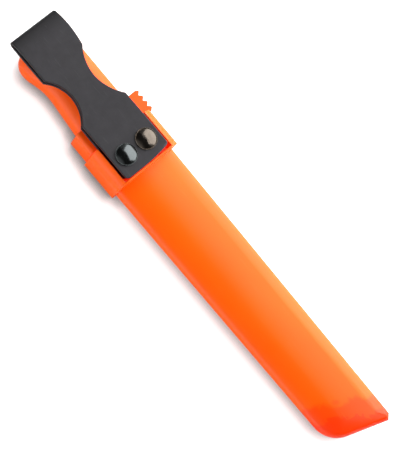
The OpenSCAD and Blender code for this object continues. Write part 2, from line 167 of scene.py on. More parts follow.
class StageSettings(bpy.types.PropertyGroup):
    tilt: bpy.props.FloatProperty(
        name="Camera tilt", description="Angle between the camera and straight down",
        default=math.radians(18), subtype="ANGLE")
    roll: bpy.props.FloatProperty(
        name="Camera roll", description="Turn of the camera about its own axis",
        default=math.radians(50.06), subtype="ANGLE")
    view_height: bpy.props.FloatProperty(
        name="View height", description="Height of what the camera sees at the knife",
        default=0.296, unit="LENGTH")
    lens: bpy.props.FloatProperty(
        name="Focal length", description="Focal length of the lens",
        default=150, subtype="DISTANCE_CAMERA")
    key_power: bpy.props.FloatProperty(
        name="Soft box", description="Power of the large soft box on the spine side",
        default=36.0, subtype="POWER")
    side_power: bpy.props.FloatProperty(
        name="Side key", description="Power of the low key light on the spine side",
        default=38.0, subtype="POWER")
    edge_power: bpy.props.FloatProperty(
        name="Edge light", description="Power of the low light on the edge side",
        default=12.0, subtype="POWER")
    fill_power: bpy.props.FloatProperty(
        name="Fill", description="Power of the fill light over the edge side",
        default=7.0, subtype="POWER")


# ------------------------------------------------------------------ node helpers
def node(tree, kind, where=(0, 0), **values):
    n = tree.nodes.new(kind)
    n.location = where
    for key, value in values.items():
        if key in n.inputs:
            n.inputs[key].default_value = value
        else:
            setattr(n, key, value)
    return n


def object_coords(tree, where):
    return node(tree, "ShaderNodeTexCoord", where).outputs["Object"]


def ramp(tree, source, stops, where=(0, 0)):
    n = tree.nodes.new("ShaderNodeValToRGB")
    n.location = where
    while len(n.color_ramp.elements) < len(stops):
        n.color_ramp.elements.new(0.5)
    for e, (at, colour) in zip(n.color_ramp.elements, stops, strict=True):
        e.position = at
        e.color = (*colour, 1) if isinstance(colour, tuple) else (colour, colour, colour, 1)
    tree.links.new(source, n.inputs["Fac"])
    return n.outputs["Color"]


def mix(tree, factor, a, b, mode="MIX", where=(0, 0)):
    n = tree.nodes.new("ShaderNodeMix")
    n.data_type = "RGBA"
    n.blend_type = mode
    n.location = where
    for value, socket in ((factor, n.inputs[0]), (a, n.inputs[6]), (b, n.inputs[7])):
        if isinstance(value, bpy.types.NodeSocket):
            tree.links.new(value, socket)
        elif isinstance(value, (tuple, list)):
            socket.default_value = (*value[:3], 1)
        else:
            socket.default_value = value
    return n.outputs[2]


def maths(tree, operation, a, b=0.5, where=(0, 0), clamp=False):
    n = tree.nodes.new("ShaderNodeMath")
    n.operation = operation
    n.use_clamp = clamp
    n.location = where
    for value, socket in ((a, n.inputs[0]), (b, n.inputs[1])):
        if isinstance(value, bpy.types.NodeSocket):
            tree.links.new(value, socket)
        else:
            socket.default_value = value
    return n.outputs[0]


def new_group(name, inputs, outputs):
    g = bpy.data.node_groups.new(name, "ShaderNodeTree")
    for label, kind, default in inputs:
        s = g.interface.new_socket(label, in_out="INPUT", socket_type=kind)
        s.default_value = default
    for label, kind in outputs:
        g.interface.new_socket(label, in_out="OUTPUT", socket_type=kind)
    g.nodes.new("NodeGroupInput").location = (-900, 0)
    g.nodes.new("NodeGroupOutput").location = (700, 0)
    return g, g.nodes["Group Input"], g.nodes["Group Output"]


def placed(tree, group, where=(0, 0), **values):
    n = tree.nodes.new("ShaderNodeGroup")
    n.node_tree = bpy.data.node_groups[group]
    n.location = where
    for key, value in values.items():
        n.inputs[key.replace("_", " ")].default_value = value
    return n


# ------------------------------------------------------------------ shared effects
def make_edge_wear_and_highlight():
    """Mask of sharp edges, broken up in patches: rubbed wear on the plastics and metals, and a painted
    highlight along the leather's edges.
    """
    g, i, o = new_group(
        "worn_edges",
        [("Radius", "NodeSocketFloat", 0.0006), ("Patchiness", "NodeSocketFloat", 60.0),
         ("Amount", "NodeSocketFloat", 1.0)],
        [("Mask", "NodeSocketFloat")])
    bevel = node(g, "ShaderNodeBevel", (-650, 150), samples=4)
    g.links.new(i.outputs["Radius"], bevel.inputs["Radius"])
    flat = node(g, "ShaderNodeNewGeometry", (-650, -50))
    dot = node(g, "ShaderNodeVectorMath", (-450, 80), operation="DOT_PRODUCT")
    g.links.new(bevel.outputs["Normal"], dot.inputs[0])
    g.links.new(flat.outputs["Normal"], dot.inputs[1])
    sharp = maths(g, "SUBTRACT", 1.0, dot.outputs["Value"], (-280, 80))
    sharp = maths(g, "MULTIPLY", sharp, 9.0, (-120, 80), clamp=True)
    coords = object_coords(g, (-850, -250))
    patches = node(g, "ShaderNodeTexNoise", (-450, -250), Detail=5.0, Roughness=0.6)
    g.links.new(coords, patches.inputs["Vector"])
    g.links.new(i.outputs["Patchiness"], patches.inputs["Scale"])
    broken = ramp(g, patches.outputs["Fac"], [(0.38, 0.15), (0.6, 1.0)], (-250, -250))
    # The patchy edge mask: rubbed wear on plastic and metal, painted highlight on the leather.
    worn = maths(g, "MULTIPLY", sharp, broken, (60, 0))
    worn = maths(g, "MULTIPLY", worn, i.outputs["Amount"], (220, 0), clamp=True)
    g.links.new(worn, o.inputs["Mask"])


def make_moulded_grain():
    """Fine grain of a mould, and the slow ripple and tone of plastic that flowed along it."""
    g, i, o = new_group(
        "moulded_grain",
        [("Grain", "NodeSocketFloat", 2600.0), ("Flow", "NodeSocketFloat", 26.0)],
        [("Height", "NodeSocketFloat"), ("Tone", "NodeSocketFloat")])
    coords = object_coords(g, (-850, -150))
    fine = node(g, "ShaderNodeTexNoise", (-500, 120), Detail=3.0, Roughness=0.55)
    g.links.new(coords, fine.inputs["Vector"])
    g.links.new(i.outputs["Grain"], fine.inputs["Scale"])
    drawn = node(g, "ShaderNodeMapping", (-680, -180))
    drawn.inputs["Scale"].default_value = (0.35, 1.0, 1.0)
    g.links.new(coords, drawn.inputs["Vector"])
    flow = node(g, "ShaderNodeTexNoise", (-500, -180), Detail=4.0, Roughness=0.5, Distortion=0.4)
    g.links.new(drawn.outputs["Vector"], flow.inputs["Vector"])
    g.links.new(i.outputs["Flow"], flow.inputs["Scale"])
    ripple = maths(g, "MULTIPLY", flow.outputs["Fac"], 0.6, (-250, -60))
    height = maths(g, "MULTIPLY_ADD", fine.outputs["Fac"], 0.25, (-60, 60))
    g.links.new(ripple, height.node.inputs[2])
    g.links.new(height, o.inputs["Height"])
    g.links.new(flow.outputs["Fac"], o.inputs["Tone"])


def make_handling_marks():
    """Smudges from hands, and fine scratches that run roughly along the knife."""
    g, i, o = new_group(
        "handling_marks",
        [("Scale", "NodeSocketFloat", 45.0), ("Scratches", "NodeSocketFloat", 0.5)],
        [("Smudge", "NodeSocketFloat"), ("Scratch", "NodeSocketFloat")])
    coords = object_coords(g, (-850, -150))
    smudge = node(g, "ShaderNodeTexNoise", (-500, 150), Detail=6.0, Roughness=0.62, Distortion=0.8)
    g.links.new(coords, smudge.inputs["Vector"])
    g.links.new(i.outputs["Scale"], smudge.inputs["Scale"])
    turned_coords = node(g, "ShaderNodeMapping", (-680, -180))
    turned_coords.inputs["Rotation"].default_value = (0.2, 0.1, 0.35)
    turned_coords.inputs["Scale"].default_value = (60, 900, 900)
    g.links.new(coords, turned_coords.inputs["Vector"])
    lines = node(g, "ShaderNodeTexNoise", (-500, -180), Scale=1.0, Detail=2.0)
    g.links.new(turned_coords.outputs["Vector"], lines.inputs["Vector"])
    thin = ramp(g, lines.outputs["Fac"], [(0.66, 0.0), (0.72, 1.0)], (-300, -180))
    thin = maths(g, "MULTIPLY", thin, i.outputs["Scratches"], (0, -150))
    g.links.new(smudge.outputs["Fac"], o.inputs["Smudge"])
    g.links.new(thin, o.inputs["Scratch"])


def make_leather_grain():
    """Pores and soft creases of finished leather."""
    g, i, o = new_group(
        "leather_grain",
        [("Pores", "NodeSocketFloat", 900.0), ("Creases", "NodeSocketFloat", 130.0)],
        [("Height", "NodeSocketFloat"), ("Tone", "NodeSocketFloat")])
    coords = object_coords(g, (-850, -150))
    cells = node(g, "ShaderNodeTexVoronoi", (-500, 150), feature="DISTANCE_TO_EDGE")
    g.links.new(coords, cells.inputs["Vector"])
    g.links.new(i.outputs["Pores"], cells.inputs["Scale"])
    furrows = ramp(g, cells.outputs["Distance"], [(0.0, 0.0), (0.12, 1.0)], (-300, 150))
    creases = node(g, "ShaderNodeTexNoise", (-500, -180), Detail=7.0, Roughness=0.65)
    g.links.new(coords, creases.inputs["Vector"])
    g.links.new(i.outputs["Creases"], creases.inputs["Scale"])
    height = maths(g, "MULTIPLY_ADD", furrows, 0.35, (0, 60))
    g.links.new(creases.outputs["Fac"], height.node.inputs[2])
    g.links.new(height, o.inputs["Height"])
    g.links.new(creases.outputs["Fac"], o.inputs["Tone"])


def make_painted_shade_glow():
    """Painted red glow: an emission where ambient occlusion finds crevices and overhangs, standing in for
    light in the shade.
    """
    g, i, o = new_group(
        "plastic_glow",
        [("Reach", "NodeSocketFloat", 0.01), ("Colour", "NodeSocketColor", (0.5, 0.01, 0.0, 1.0))],
        [("Glow", "NodeSocketColor")])
    shade = node(g, "ShaderNodeAmbientOcclusion", (-500, 0), samples=8)
    g.links.new(i.outputs["Reach"], shade.inputs["Distance"])
    hidden = ramp(g, shade.outputs["AO"], [(0.15, 1.0), (0.75, 0.0)], (-250, 0))
    glow = mix(g, hidden, (0.0, 0.0, 0.0), i.outputs["Colour"], where=(200, 0))
    g.links.new(glow, o.inputs["Glow"])


def make_effects():
    make_edge_wear_and_highlight()
    make_moulded_grain()
    make_handling_marks()
    make_leather_grain()
    make_painted_shade_glow()


# ------------------------------------------------------------------ materials
def new_material(name):
    m = bpy.data.materials.new(name)
    m.use_nodes = True
    tree = m.node_tree
    tree.nodes.clear()
    out = node(tree, "ShaderNodeOutputMaterial", (900, 0))
    shader = node(tree, "ShaderNodeBsdfPrincipled", (600, 0))
    tree.links.new(shader.outputs["BSDF"], out.inputs["Surface"])
    return m, tree, shader


def rounded_normal(tree, shader, height, strength, distance, radius=0.0):
    """Bump from a height, over a normal that is rounded a little at sharp edges."""
    bump = node(tree, "ShaderNodeBump", (350, -350), Strength=strength, Distance=distance)
    tree.links.new(height, bump.inputs["Height"])
    if radius:
        soft = node(tree, "ShaderNodeBevel", (100, -450), samples=6)
        soft.inputs["Radius"].default_value = radius
        tree.links.new(soft.outputs["Normal"], bump.inputs["Normal"])
    tree.links.new(bump.outputs["Normal"], shader.inputs["Normal"])


def scaled(colour, factor):
    return tuple(min(1, c * factor) for c in colour)


def varied_roughness(tree, smudge, low, high):
    """Roughness between two values, following the smudges."""
    rough = node(tree, "ShaderNodeMapRange", (100, -100))
    rough.inputs["To Min"].default_value = low
    rough.inputs["To Max"].default_value = high
    tree.links.new(smudge, rough.inputs["Value"])
    return rough.outputs["Result"]


def tip_patches_and_shade(tree, base, deep):
    """Deeper-coloured patches toward the sheath's tip, with clouded borders that slant across it: partly the
    plastic's own tone, partly painted shade over the tip's end.
    """
    coords = object_coords(tree, (-950, 450))
    axis = node(tree, "ShaderNodeSeparateXYZ", (-780, 450))
    tree.links.new(coords, axis.inputs[0])
    clouds = node(tree, "ShaderNodeTexNoise", (-780, 650), Scale=75.0, Detail=2.5, Distortion=0.8)
    tree.links.new(coords, clouds.inputs["Vector"])
    drift = maths(tree, "MULTIPLY_ADD", clouds.outputs["Fac"], 0.02, (-600, 650))
    tree.links.new(axis.outputs["X"], drift.node.inputs[2])
    slant = maths(tree, "MULTIPLY_ADD", axis.outputs["Y"], -0.5, (-450, 600))
    tree.links.new(drift, slant.node.inputs[2])
    tip = sheath_hi.x + 0.01  # moved by the mean of the clouds' drift
    # Both bands deepen the colour; the band nearest the tip also paints the shade of its end.
    for start, stop, strength, place in ((0.031, 0.027, 0.6, 0), (0.0185, 0.0165, 0.9, 200)):
        patch = node(tree, "ShaderNodeMapRange", (-300, 500 + place), interpolation_type="SMOOTHSTEP")
        patch.inputs["From Min"].default_value = tip - start
        patch.inputs["From Max"].default_value = tip - stop
        patch.inputs["To Max"].default_value = strength
        tree.links.new(slant, patch.inputs["Value"])
        base = mix(tree, patch.outputs["Result"], base, deep, where=(0, 400 + place))
    return base


def moulded_plastic(name, colour, deep, pale, roughness, tip_tone_and_shade=False):
    """Satin injection-moulded plastic: flow tone, fine grain, paler worn edges, handling marks and a painted
    red glow in the shade; deeper patches toward the tip if asked, partly painted shade.
    """
    m, tree, shader = new_material(name)
    grain = placed(tree, "moulded_grain", (-700, 100))
    edge_mask = placed(tree, "worn_edges", (-700, -150), Radius=0.0009, Amount=0.55)
    marks = placed(tree, "handling_marks", (-700, -400), Scratches=0.35)
    tone = ramp(tree, grain.outputs["Tone"], [(0.3, 0.0), (0.7, 1.0)], (-450, 150))
    base = mix(tree, maths(tree, "MULTIPLY", tone, 0.2, (-250, 250)), colour, deep, where=(-50, 200))
    if tip_tone_and_shade:
        base = tip_patches_and_shade(tree, base, deep)
    base = mix(tree, edge_mask.outputs["Mask"], base, pale, where=(150, 200))
    scratched = maths(tree, "MULTIPLY", marks.outputs["Scratch"], 0.25, (-250, -350))
    base = mix(tree, scratched, base, pale, where=(300, 200))
    tree.links.new(base, shader.inputs["Base Color"])
    rough = varied_roughness(tree, marks.outputs["Smudge"], roughness - 0.06, roughness + 0.08)
    tree.links.new(rough, shader.inputs["Roughness"])
    # Painted glow: a red emission where other parts hide the plastic, standing in for light in the shade.
    glow = placed(tree, "plastic_glow", (300, -600), Reach=0.012)
    tree.links.new(glow.outputs["Glow"], shader.inputs["Emission Color"])
    shader.inputs["Emission Strength"].default_value = 0.8
    shader.inputs["Specular IOR Level"].default_value = 0.3
    rounded_normal(tree, shader, grain.outputs["Height"], 0.16, 0.0004, 0.0007)
    return m


def strap_leather(name, colour, edge=False):
    """Smooth-finished black leather, or its burnished cut edge, with painted shade darkening it toward the
    fold and a painted highlight along its rounded edges.
    """
    m, tree, shader = new_material(name)
    if edge:
        grain = placed(tree, "leather_grain", (-700, 100), Pores=2400.0, Creases=420.0)
    else:
        grain = placed(tree, "leather_grain", (-700, 100), Pores=1150.0, Creases=150.0)
    edge_mask = placed(tree, "worn_edges", (-700, -150), Radius=0.0005, Patchiness=120.0, Amount=0.9)
    marks = placed(tree, "handling_marks", (-700, -400), Scale=70.0, Scratches=0.25)
    tone = ramp(tree, grain.outputs["Tone"], [(0.3, 0.0), (0.72, 1.0)], (-450, 150))
    base = mix(tree, tone, scaled(colour, 0.72), colour, where=(-150, 200))
    axis = node(tree, "ShaderNodeSeparateXYZ", (-780, 450))
    tree.links.new(object_coords(tree, (-950, 450)), axis.inputs[0])
    # Painted shade: the leather's colour falls to 0.3 of itself toward the fold.
    fold = node(tree, "ShaderNodeMapRange", (-600, 450), interpolation_type="SMOOTHSTEP")
    fold.inputs["From Min"].default_value = FOLD_X
    fold.inputs["From Max"].default_value = FOLD_X + FOLD_SHADE
    tree.links.new(axis.outputs["X"], fold.inputs["Value"])
    base = mix(tree, fold.outputs["Result"], scaled(colour, 0.3), base, where=(0, 450))
    # Painted highlight: the edge mask lightens the leather's rounded edges to 2.4 times its colour.
    base = mix(tree, edge_mask.outputs["Mask"], base, scaled(colour, 2.4), where=(100, 200))
    scratched = maths(tree, "MULTIPLY", marks.outputs["Scratch"], 0.2, (-250, -350))
    base = mix(tree, scratched, base, (0.2, 0.2, 0.2), where=(300, 200))
    tree.links.new(base, shader.inputs["Base Color"])
    low, high = (0.62, 0.85) if edge else (0.4, 0.62)
    rough = varied_roughness(tree, marks.outputs["Smudge"], low, high)
    tree.links.new(rough, shader.inputs["Roughness"])
    shader.inputs["Specular IOR Level"].default_value = 0.4
    rounded_normal(tree, shader, grain.outputs["Height"], 0.5 if edge else 0.22, 0.0004)
    return m


def metal(name, colour, roughness, brushed=None, wear_amount=0.6, hammered=0.0):
    """Plated or ground metal with rubbed edges, smudges and scratches, brushed or dented if asked."""
    m, tree, shader = new_material(name)
    shader.inputs["Metallic"].default_value = 1.0
    edge_mask = placed(tree, "worn_edges", (-700, -150), Radius=0.00035, Patchiness=300.0, Amount=wear_amount)
    marks = placed(tree, "handling_marks", (-700, -400), Scale=160.0, Scratches=0.6)
    tint = ramp(tree, marks.outputs["Smudge"], [(0.3, scaled(colour, 0.8)), (0.7, colour)], (-400, 200))
    base = mix(tree, edge_mask.outputs["Mask"], tint, (0.75, 0.72, 0.66), where=(100, 200))
    tree.links.new(base, shader.inputs["Base Color"])
    rough = varied_roughness(tree, marks.outputs["Smudge"], roughness * 0.7, roughness * 1.4)
    scratched = maths(tree, "MULTIPLY_ADD", marks.outputs["Scratch"], 0.12, (300, -100))
    tree.links.new(rough, scratched.node.inputs[2])
    tree.links.new(scratched, shader.inputs["Roughness"])
    height = marks.outputs["Scratch"]
    if brushed:
        drawn = node(tree, "ShaderNodeMapping", (-780, 450))
        drawn.inputs["Scale"].default_value = brushed
        tree.links.new(object_coords(tree, (-950, 450)), drawn.inputs["Vector"])
        lines = node(tree, "ShaderNodeTexNoise", (-600, 450), Scale=1.0, Detail=4.0)
        tree.links.new(drawn.outputs["Vector"], lines.inputs["Vector"])
        height = lines.outputs["Fac"]
    if hammered:
        dents = node(tree, "ShaderNodeTexNoise", (-600, 450), Scale=620.0, Detail=3.0)
        tree.links.new(object_coords(tree, (-950, 450)), dents.inputs["Vector"])
        height = dents.outputs["Fac"]
    rounded_normal(tree, shader, height, hammered or 0.12, 0.00012, 0.0002)
    return m


def dress(obj, *materials):
    obj.data.materials.clear()
    for m in materials:
        obj.data.materials.append(m)


def soft_shading(obj, degrees=32):
    """Joins the mesh's split corners and shades it smooth up to an angle, as a modifier."""
    name = f"smooth_to_{degrees}"
    g = bpy.data.node_groups.get(name)
    if not g:
        g = bpy.data.node_groups.new(name, "GeometryNodeTree")
        g.interface.new_socket("Geometry", in_out="INPUT", socket_type="NodeSocketGeometry")
        g.interface.new_socket("Geometry", in_out="OUTPUT", socket_type="NodeSocketGeometry")
        i, o = node(g, "NodeGroupInput", (-600, 0)), node(g, "NodeGroupOutput", (600, 0))
        weld = node(g, "GeometryNodeMergeByDistance", (-400, 0), Distance=0.000004)
        smooth = node(g, "GeometryNodeSetShadeSmooth", (-100, 0), domain="FACE")
        smooth.inputs["Shade Smooth"].default_value = True
        angle = node(g, "GeometryNodeInputMeshEdgeAngle", (-300, -250))
        over = node(g, "FunctionNodeCompare", (-100, -250), data_type="FLOAT", operation="GREATER_THAN")
        over.inputs["B"].default_value = math.radians(degrees)
        sharp = node(g, "GeometryNodeSetShadeSmooth", (250, 0), domain="EDGE")
        sharp.inputs["Shade Smooth"].default_value = False
        g.links.new(i.outputs[0], weld.inputs["Geometry"])
        g.links.new(weld.outputs["Geometry"], smooth.inputs["Geometry"])
        g.links.new(smooth.outputs["Geometry"], sharp.inputs["Geometry"])
        g.links.new(angle.outputs["Unsigned Angle"], over.inputs["A"])
        g.links.new(over.outputs["Result"], sharp.inputs["Selection"])
        g.links.new(sharp.outputs["Geometry"], o.inputs[0])
    m = obj.modifiers.new("soft_shading", "NODES")
    m.node_group = g


def finished(name, bm, degrees):
    """Makes an object of a bmesh, with its normals outward and edges over an angle kept sharp."""
    bmesh.ops.recalc_face_normals(bm, faces=bm.faces[:])
    for e in bm.edges:
        if len(e.link_faces) == 2 and e.calc_face_angle(0) > math.radians(degrees):
            e.smooth = False
    mesh = bpy.data.meshes.new(name)
    bm.to_mesh(mesh)
    bm.free()
    obj = bpy.data.objects.new(name, mesh)
    bpy.context.collection.objects.link(obj)
    return obj


# ------------------------------------------------------------------ strap
def clamped(value):
    return min(max(value, 0.0), 1.0)


def scallop(x, values):
    """Depth of one circular scallop at a place along the knife."""
    start, end, depth = values
    half, mid = (end - start) / 2, (start + end) / 2
    radius = (half**2 + depth**2) / (2 * depth)
    d = abs(x - FOLD_X - mid)
    return max(math.sqrt(radius**2 - d**2) - radius + depth, 0.0) if d < half else 0.0


def strap_edges(x, s):
    """Where the strap's two long edges are, edge side and spine side, at a place along the knife."""
    low = STRAP_Y - STRAP_W / 2 + s.edge_low
    high = STRAP_Y + STRAP_W / 2 - s.edge_high
    start, end, _ = s.high_scallop
    along = clamped((x - FOLD_X) / start)
    bow = SPINE_BOW * (2 * along - 0.85) ** 2
    middle = (start + end) / 2
    after = clamped((x - FOLD_X - middle) / (end - middle))
    return low + scallop(x, s.low_scallop), high - bow * (1 - after) - scallop(x, s.high_scallop)


def pinch_at(x, s):
    """How far a layer leans toward the other at a place along the knife: none at the fold and the studs."""
    a, b = (FOLD_X + d for d in PINCH_SPAN)
    t = clamped((x - a) / (b - a))
    return s.pinch * math.sin(math.pi * t) ** 1.5


def strap_end_x(y, s):
    """Where the strap ends across its width: a slightly raked end with rounded corners."""
    v = (y - STRAP_Y) / (STRAP_W / 2)
    x = STRAP_END - END_RAKE * max(v, 0.0) ** 1.4
    for side, r, trim in ((-1, s.corner, s.edge_low), (1, SPINE_CORNER, s.edge_high)):
        over = side * (y - STRAP_Y) - (STRAP_W / 2 - trim - r)
        if over > 0:
            x -= r - math.sqrt(max(r * r - over * over, 0.0))
    return x


def loop_paths(s):
    """Middle lines of the strap as (x, z) points: the rear layer with the fold, then the front layer."""
    low = rear_lo.z + STRAP_T / 2
    high = flap_hi.z - STRAP_T / 2
    rise = math.tan(s.fold_slope) * s.fold_reach / 2
    radius = (high - rise - low) / (1 + math.cos(s.fold_slope))
    fold = FOLD_X + s.fold_inset + STRAP_T / 2 + radius
    start = fold - radius * math.sin(s.fold_slope)

    def top(x):
        u = clamped((x - start) / s.fold_reach)
        return high - rise * (1 - u) ** 2 - pinch_at(x, s)

    rear_end = STRAP_END - REAR_SHORTER
    rear = [(x, low + pinch_at(x, s)) for x in reversed(stations(fold + 0.0005, rear_end, s))]
    for k in range(33):
        a = -math.pi / 2 - (math.pi - s.fold_slope) * k / 32
        rear.append((fold + radius * math.cos(a), low + radius + radius * math.sin(a)))
    steps = max(int((hinge[0] - start) / 0.0005), 3)
    rising = [start + (hinge[0] - start) * k / steps for k in range(1, steps + 1)]
    rear += [(x, top(x)) for x in rising]
    front = [(x, top(x)) for x in stations(hinge[0], STRAP_END, s, 0.001)]
    return rear, front


def with_angles(path, first=None, last=None):
    """Adds to each (x, z) point the angle of the line's left-hand normal.

    first and last are the line's directions past its ends, where another length of strap goes on.
    """
    out = []
    for k, (x, z) in enumerate(path):
        a = path[max(k - 1, 0)]
        b = path[min(k + 1, len(path) - 1)]
        if first and k == 0:
            a = (x - first[0], z - first[1])
        if last and k == len(path) - 1:
            b = (x + last[0], z + last[1])
        out.append((x, z, math.atan2(b[1] - a[1], b[0] - a[0]) + math.pi / 2))
    return out


def section(half, t, r, columns=26):
    """Closed cross-section of the strap: points (across, through the thickness, 1 on a cut edge or 0)."""
    out = []
    flat = half - r
    across = [math.sin(math.pi / 2 * (2 * k / columns - 1)) for k in range(columns + 1)]
    for v in across:
        out.append((v * flat, t / 2, 0))
    for k in range(1, 4):
        a = math.pi / 2 * (1 - k / 4)
        out.append((flat + r * math.cos(a), t / 2 - r + r * math.sin(a), 1))
    out.append((half, t / 2 - r, 1))
    out.append((half, 0, 1))
    out.append((half, r - t / 2, 1))
    for k in range(1, 4):
        a = -math.pi / 2 * k / 4
        out.append((flat + r * math.cos(a), r - t / 2 + r * math.sin(a), 1))
    for v in reversed(across):
        out.append((v * flat, -t / 2, 0))
    for k in range(1, 4):
        a = math.pi + math.pi / 2 * (1 - k / 4)
        out.append((-flat + r * math.cos(a), r - t / 2 + r * math.sin(a), 1))
    out.append((-half, r - t / 2, 1))
    out.append((-half, 0, 1))
    out.append((-half, t / 2 - r, 1))
    for k in range(1, 4):
        a = math.pi - math.pi / 2 * k / 4
        out.append((-flat + r * math.cos(a), t / 2 - r + r * math.sin(a), 1))
    return out


def ribbon(name, path, s, end_x, open_first=False, open_last=False):
    """Sweeps the strap's cross-section along (x, z, normal angle) stations, shaping it at its free end."""
    bm = bmesh.new()
    rings = []
    depth, length = FOLD_CORNER
    begin = end_x - SHAPED_END
    for x, z, a in path:
        low, high = strap_edges(x, s)
        high -= depth * clamped((FOLD_X + s.fold_inset + length - x) / length) ** 2
        half, mid = (high - low) / 2, (high + low) / 2
        ring = []
        pts = section(half, STRAP_T, s.edge_round)
        flags = [p[2] for p in pts]
        for v, n, _ in pts:
            y = mid + v
            px = x + n * math.cos(a)
            if x > begin:
                shape = strap_end_x(y, s) - STRAP_END + end_x
                px = begin + (px - begin) * (shape - begin) / (end_x - begin)
            ring.append(bm.verts.new((px, y, z + n * math.sin(a))))
        rings.append(ring)
    count = len(rings[0])
    for a, b in zip(rings, rings[1:], strict=False):
        for k in range(count):
            n = (k + 1) % count
            f = bm.faces.new((a[k], a[n], b[n], b[k]))
            f.material_index = 1 if flags[k] and flags[n] else 0
            f.smooth = True
    for ring, skip in ((rings[0], open_first), (rings[-1], open_last)):
        if not skip:
            f = bm.faces.new(ring)
            f.material_index = 1
    return finished(name, bm, 50)


def stations(a, b, s, step=0.0015):
    """Places along the strap between two x values, with one at each end of the scallops."""
    keys = [a, b]
    for k in (*s.low_scallop[:2], *s.high_scallop[:2]):
        k += FOLD_X
        if a < k < b:
            keys += [k - 0.0002, k, k + 0.0002]
    n = max(int((b - a) / step), 2)
    keys += [a + (b - a) * k / n for k in range(1, n)]
    keys = sorted(set(keys))
    return [k for i, k in enumerate(keys) if i == 0 or k - keys[i - 1] > 0.00015]


class KNIFE_OT_strap(bpy.types.Operator):
    """Models the folded belt loop as two lengths of edged leather"""

    bl_idname = "knife.strap"
    bl_label = "Belt loop strap"

    def execute(self, context):
        s = context.scene.knife_strap
        c = context.scene.knife_colours
        leather = strap_leather("strap_leather", tuple(c.leather))
        edge = strap_leather("strap_edge", tuple(c.leather_edge), edge=True)
        back, front_line = loop_paths(s)
        ahead = (front_line[1][0] - front_line[0][0], front_line[1][1] - front_line[0][1])
        behind = (back[-1][0] - back[-2][0], back[-1][1] - back[-2][1])
        line = with_angles(back, last=ahead)
        rear = ribbon("strap_rear_layer", line, s, back[0][0], open_last=True)
        line = with_angles(front_line, first=behind)
        front = ribbon("strap_front_layer", line, s, STRAP_END, open_first=True)
        for obj in (rear, front):
            dress(obj, leather, edge)
        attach(rear, "sheath")
        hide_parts("strap_back")
        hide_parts("strap_flap")
        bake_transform(front)
        return {"FINISHED"}


# ------------------------------------------------------------------ press studs
def turned(name, profile, centre, steps=96):
    """Turns an (r, z) profile, which starts and ends on the axis, about the vertical through centre."""
    bm = bmesh.new()
    loops = []
    for r, z in profile:
        if r < 1e-7:
            loops.append([bm.verts.new((centre[0], centre[1], z))])
        else:
            loops.append([
                bm.verts.new((centre[0] + r * math.cos(2 * math.pi * k / steps),
                              centre[1] + r * math.sin(2 * math.pi * k / steps), z))
                for k in range(steps)])
    for a, b in zip(loops, loops[1:], strict=False):
        for k in range(steps):
            n = (k + 1) % steps
            ring = [a[k % len(a)], a[n % len(a)], b[n % len(b)], b[k % len(b)]]
            ring = [v for i, v in enumerate(ring) if v not in ring[:i]]
            if len(ring) > 2:
                bm.faces.new(ring).smooth = True
    return finished(name, bm, 40)


def cap_profile(s):
    """Half-section of a stud's cap, as (r, z) points: dome, rolled lip, hollow, shaft and flared foot."""
    r = s.diameter / 2
    base = flap_hi.z
    foot = cap_lo.z
    inner = r - s.lip
    rise = s.height - s.lip
    big = (inner**2 + rise**2) / (2 * rise)
    profile = [(0.0, base + s.height)]
    for k in range(1, 25):
        a = math.asin(inner / big) * k / 24
        profile.append((big * math.sin(a), base + s.height - big + big * math.cos(a)))
    for k in range(1, 9):
        a = math.pi / 2 - math.pi * 0.95 * k / 8
        profile.append((inner + s.lip * math.cos(a), base + s.lip + s.lip * math.sin(a)))
    wide, tall = FLARE
    return profile + [
        (r - 3.2 * s.lip, base + RIM_LIFT), (r - 3.6 * s.lip, base + HOLLOW),
        (SHAFT_R + SHOULDER, base + HOLLOW), (SHAFT_R, base), (SHAFT_R, foot + tall),
        (SHAFT_R + wide, foot + tall), (SHAFT_R + wide, foot), (0.0, foot)]


class KNIFE_OT_press_studs(bpy.types.Operator):
    """Turns the two domed caps with rolled lips, and finishes the studs, sockets, posts and springs"""

    bl_idname = "knife.press_studs"
    bl_label = "Press studs"

    def execute(self, context):
        c = context.scene.knife_colours
        dark = metal("cap_plating", tuple(c.cap), 0.16, wear_amount=0.15, hammered=0.5)
        warm = metal("cap_tarnish", tuple(c.cap_warm), 0.18, wear_amount=0.15, hammered=0.8)
        nickel = metal("stud_nickel", (0.5, 0.49, 0.47), 0.24)
        wire = metal("spring_wire", (0.62, 0.62, 0.64), 0.2, brushed=(900, 900, 2500))
        profile = cap_profile(context.scene.knife_studs)
        for name, lo, hi, plating in (("a", cap_lo, cap_hi, dark), ("b", cap_b_lo, cap_b_hi, warm)):
            cap = turned(f"stud_cap_{name}", profile, ((lo.x + hi.x) / 2, (lo.y + hi.y) / 2))
            dress(cap, plating)
            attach(cap, "flap")
            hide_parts(f"snap_cap_{name}")
            for part, finish in (("post", nickel), ("stud", nickel), ("socket", nickel), ("spring", wire)):
                piece = frame["nodes"][f"snap_{part}_{name}"]
                dress(piece, finish)
                soft_shading(piece)
        return {"FINISHED"}


# ------------------------------------------------------------------ sheath, handle, blade
class KNIFE_OT_sheath(bpy.types.Operator):
    """Finishes the moulded sheath"""

    bl_idname = "knife.sheath"
    bl_label = "Sheath"

    def execute(self, context):
        colour = tuple(context.scene.knife_colours.sheath)
        deep, pale = (0.92, 0.035, 0.0005), (1.0, 0.2, 0.05)
        plastic = moulded_plastic("sheath_plastic", colour, deep, pale, 0.3, tip_tone_and_shade=True)
        dress(frame["nodes"]["sheath_shell"], plastic)
        soft_shading(frame["nodes"]["sheath_shell"])
        return {"FINISHED"}


